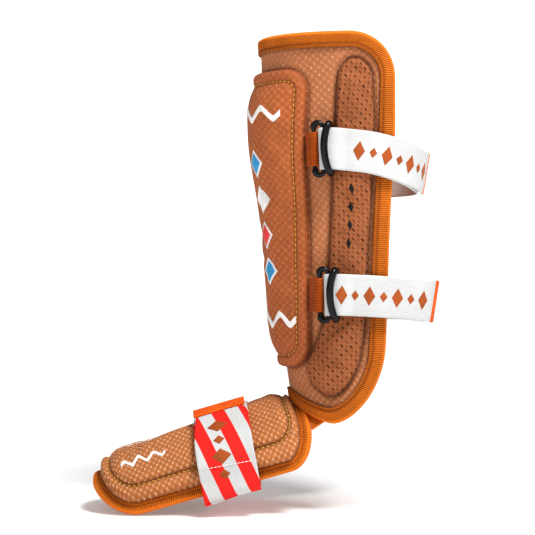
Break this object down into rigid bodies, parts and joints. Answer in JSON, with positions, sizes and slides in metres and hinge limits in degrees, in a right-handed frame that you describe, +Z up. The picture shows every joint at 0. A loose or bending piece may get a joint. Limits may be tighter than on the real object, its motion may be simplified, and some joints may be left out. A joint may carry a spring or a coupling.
{
  "type": "batter's leg guard with foot guard",
  "caption": "Open foam shin shell with a raised front panel, side pads, elastic straps and an arched foot guard, for shielding a batter's shin and instep.",
  "frame": {"origin": "on the leg axis, in the hollow of the shin shell at half of the shell's height", "axes": "+Z up along the shin, -X forward towards the toe, -Y the near side, which carries the strap loops"},
  "size_m": [0.2741, 0.1321, 0.3731],
  "materials": {
    "shin_mesh": "brown sandwich mesh, matt",
    "plate_mesh": "fine brown mesh over a hard insert",
    "rib_mesh": "brown mesh with small holes",
    "foot_mesh": "brown mesh with bright knots",
    "edge_tape": "ribbed tape, slight sheen",
    "webbing": "woven webbing",
    "white_elastic": "woven elastic, matt",
    "striped_elastic": "woven elastic with red and white stripes",
    "orange_tip": "smooth coated fabric",
    "loop_plastic": "black moulded plastic",
    "keeper_rubber": "black rubber"
  },
  "bodies": {
    "root": {"shin_shell": "shin_mesh", "shin_binding": "edge_tape", "shin_plate": "plate_mesh", "rib_pad_near": "rib_mesh", "rib_pad_far": "rib_mesh", "strap_upper": "white_elastic", "strap_lower": "white_elastic", "strap_tip_upper": "orange_tip", "strap_tip_lower": "orange_tip", "loop_upper": "loop_plastic", "loop_lower": "loop_plastic", "keeper_upper": "keeper_rubber", "keeper_lower": "keeper_rubber", "tab_upper": "webbing", "tab_lower": "webbing", "foot_pad": "foot_mesh", "foot_dome": "foot_mesh", "foot_binding": "edge_tape", "foot_strap": "striped_elastic", "foot_strap_tip": "orange_tip", "ankle_tab": "webbing"}
  },
  "joints": []
}
